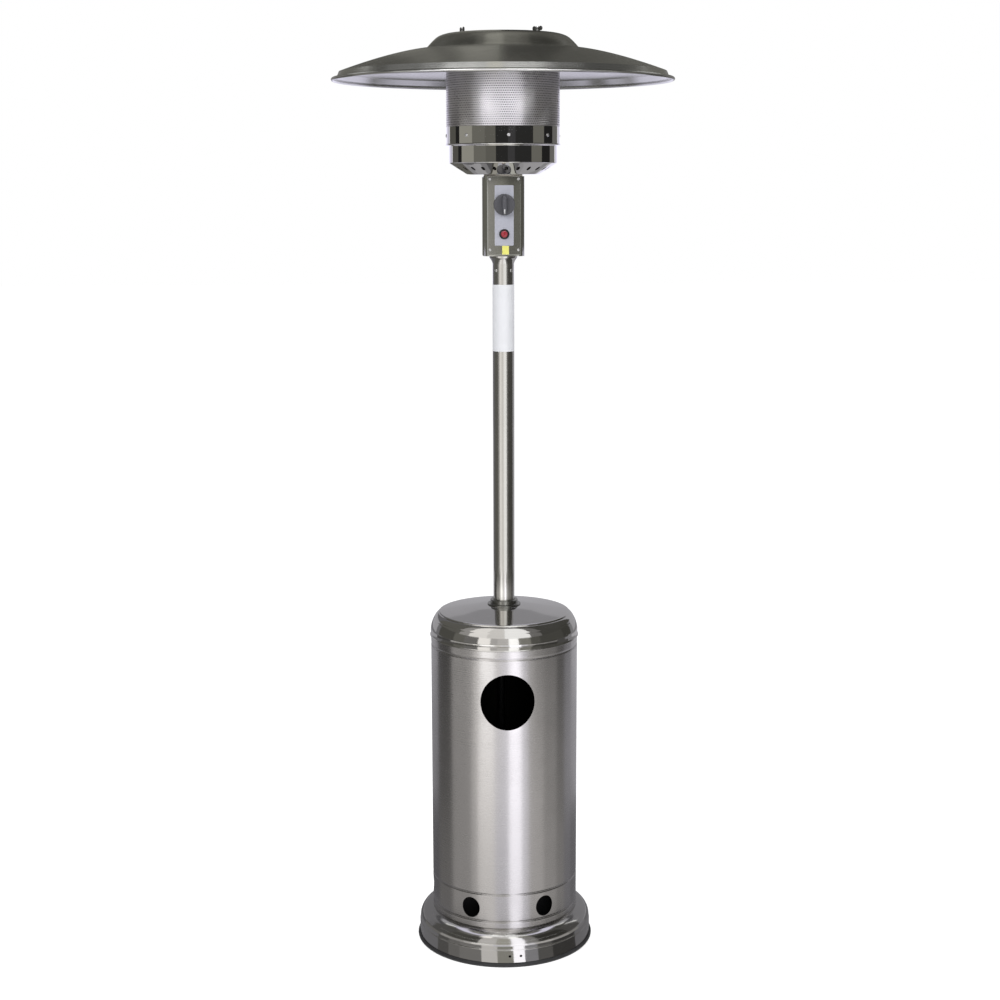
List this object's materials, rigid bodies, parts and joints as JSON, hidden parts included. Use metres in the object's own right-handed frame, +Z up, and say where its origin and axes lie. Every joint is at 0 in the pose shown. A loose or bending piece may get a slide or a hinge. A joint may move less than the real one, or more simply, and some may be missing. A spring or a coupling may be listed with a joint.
{
  "type": "patio heater",
  "caption": "Free-standing gas patio heater: weighted round base, lift-up bottle housing, tall pole, control box, caged burner and wide spun reflector.",
  "frame": {"origin": "on the floor at the centre of the base, under the pole", "axes": "+Z up the pole, -Y towards the controls, +X to the right seen from the front"},
  "size_m": [0.809, 0.809, 2.2478],
  "materials": {
    "polished_steel": "mirror-polished stainless steel",
    "edge_rubber": "matte black edging",
    "ballast_iron": "rough black casting",
    "zinc_steel": "bright zinc plated",
    "leg_coating": "black powder coating",
    "brushed_steel": "upright fine brushing",
    "collar_steel": "satin",
    "pole_steel": "satin tube",
    "label_film": "plain white film",
    "gas_aluminium": "drawn tube",
    "gas_brass": "turned brass",
    "box_steel": "dark satin steel",
    "fascia_film": "silvery plate, left blank",
    "tag_film": "plain yellow film, left blank",
    "knob_plastic": "moulded charcoal",
    "pointer_plastic": "white inlay",
    "black_plastic": "moulded black",
    "button_plastic": "glossy red",
    "switch_plastic": "moulded ivory",
    "gasket_fibre": "pressed heat-proof fibre",
    "burner_steel": "heat-darkened steel",
    "electrode_ceramic": "unglazed white",
    "emitter_steel": "perforated, softly brushed",
    "reflector_aluminium": "spun, dark satin"
  },
  "bodies": {
    "stand": {"base_dish": "polished_steel", "base_edge_trim": "edge_rubber", "ballast_plate": "ballast_iron", "ballast_spacers": "zinc_steel", "wheel_mount_plate": "zinc_steel", "leg_bolts": "zinc_steel", "support_leg_left": "leg_coating", "support_leg_right": "leg_coating", "support_leg_rear": "leg_coating", "pole_bracket": "leg_coating", "bracket_bolts": "zinc_steel", "pole_clamp_screws": "zinc_steel", "pole": "pole_steel", "pole_label": "label_film", "gas_tube": "gas_aluminium", "gas_inlet": "gas_brass", "inlet_nut": "gas_brass", "neck_flange": "polished_steel", "neck_screws": "zinc_steel", "control_base_plate": "zinc_steel", "base_plate_screws": "zinc_steel", "control_housing": "box_steel", "control_front_cover": "box_steel", "cover_screws": "zinc_steel", "control_fascia": "fascia_film", "blank_tag": "tag_film", "gas_valve": "gas_brass", "igniter_bezel": "black_plastic", "igniter_body": "black_plastic", "tilt_switch": "switch_plastic", "burner_mount_plate": "zinc_steel", "bowl_gasket": "gasket_fibre", "main_jet": "gas_brass", "burner_tube": "zinc_steel", "burner_bowl": "polished_steel", "burner_head": "burner_steel", "pilot_burner": "gas_brass", "ignition_electrode": "electrode_ceramic", "thermocouple": "gas_brass", "emitter_band": "polished_steel", "band_screws": "zinc_steel", "emitter_screen": "emitter_steel", "emitter_top_plate": "burner_steel", "reflector_studs": "zinc_steel", "reflector_spacers": "zinc_steel", "reflector_dome": "reflector_aluminium", "reflector_washers": "zinc_steel", "wing_nuts": "zinc_steel"},
    "housing": {"housing_shell": "brushed_steel", "housing_lid": "polished_steel", "lid_collar": "collar_steel", "lid_screws": "zinc_steel"},
    "plunger": {"valve_plunger": "zinc_steel"},
    "knob": {"valve_spindle": "zinc_steel", "control_knob": "knob_plastic", "knob_pointer": "pointer_plastic"},
    "button": {"igniter_button": "button_plastic"}
  },
  "joints": [
    {"name": "housing_lift", "type": "slide", "parent": "stand", "child": "housing", "axis": [0, 0, 1], "range_m": [0, 0.6]},
    {"name": "knob_push", "type": "slide", "parent": "stand", "child": "plunger", "axis": [0, 1, 0], "range_m": [0, 0.004], "stiffness_N_per_m": 300, "springref_m": -0.004},
    {"name": "knob_turn", "type": "hinge", "parent": "plunger", "child": "knob", "pos_m": [0, -0.057, 1.84], "axis": [0, -1, 0], "range_deg": [0, 210]},
    {"name": "igniter_push", "type": "slide", "parent": "stand", "child": "button", "axis": [0, 1, 0], "range_m": [0, 0.006], "stiffness_N_per_m": 400, "springref_m": -0.004}
  ]
}
